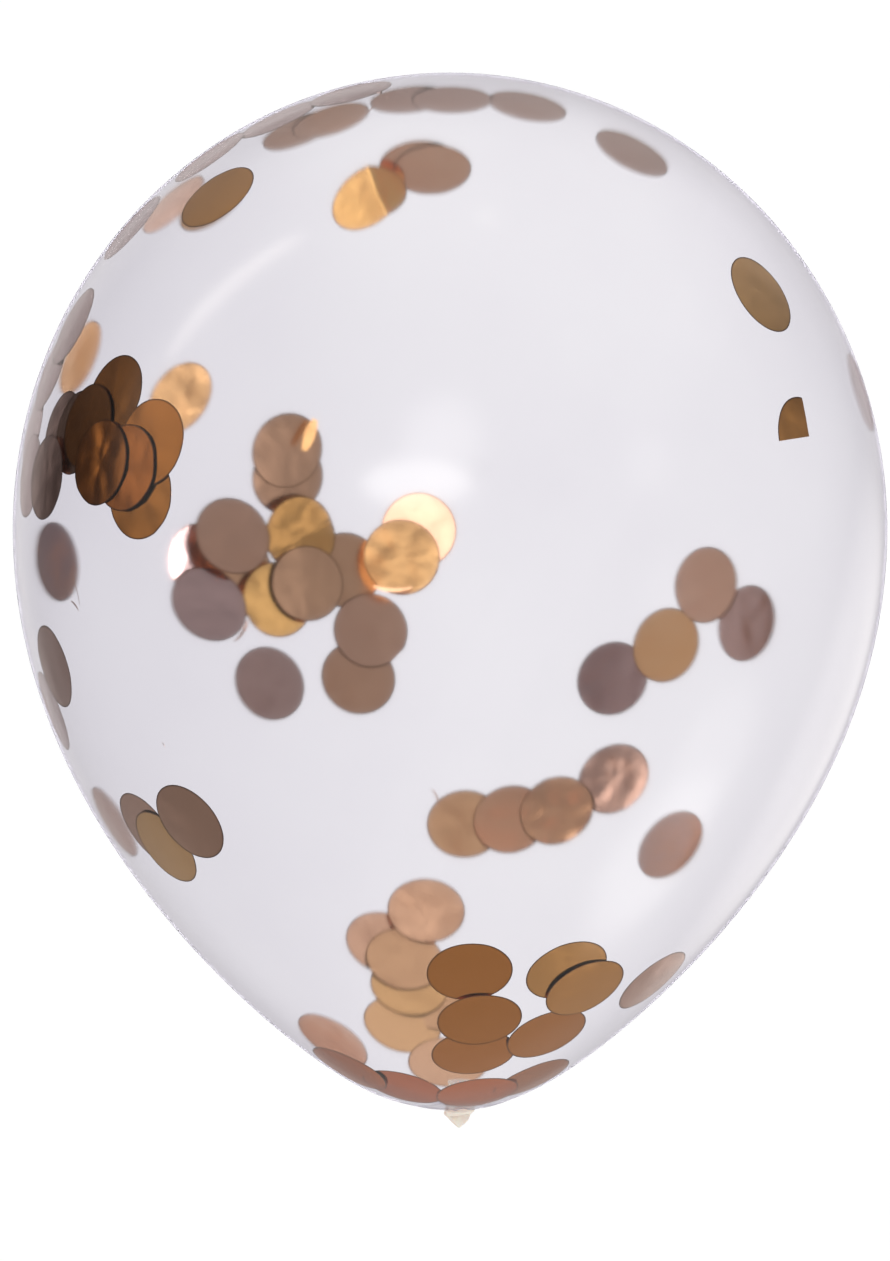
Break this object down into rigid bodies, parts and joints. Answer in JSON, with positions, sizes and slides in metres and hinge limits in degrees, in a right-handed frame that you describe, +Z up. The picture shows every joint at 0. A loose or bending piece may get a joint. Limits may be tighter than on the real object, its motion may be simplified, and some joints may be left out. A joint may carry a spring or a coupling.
{
  "type": "confetti balloon",
  "caption": "Clear latex party balloon, blown full and tied at the neck, lying on its side with round copper foil confetti sealed inside.",
  "frame": {"origin": "middle of the small flat spot that the balloon rests on, straight below the middle of its widest ring", "axes": "+Y along the balloon's long axis towards its crown, -Y towards the knot; +Z up, away from what it lies on; +X to the right when the crown is far and the knot near"},
  "size_m": [0.27, 0.3278, 0.2685],
  "materials": {
    "clear_latex": "clear, slightly milky, glossy",
    "gathered_latex": "cream, several layers thick, satin",
    "copper_foil": "mirror-like rose gold foil, slightly crumpled"
  },
  "bodies": {
    "root": {"balloon": "clear_latex"}
  },
  "joints": []
}
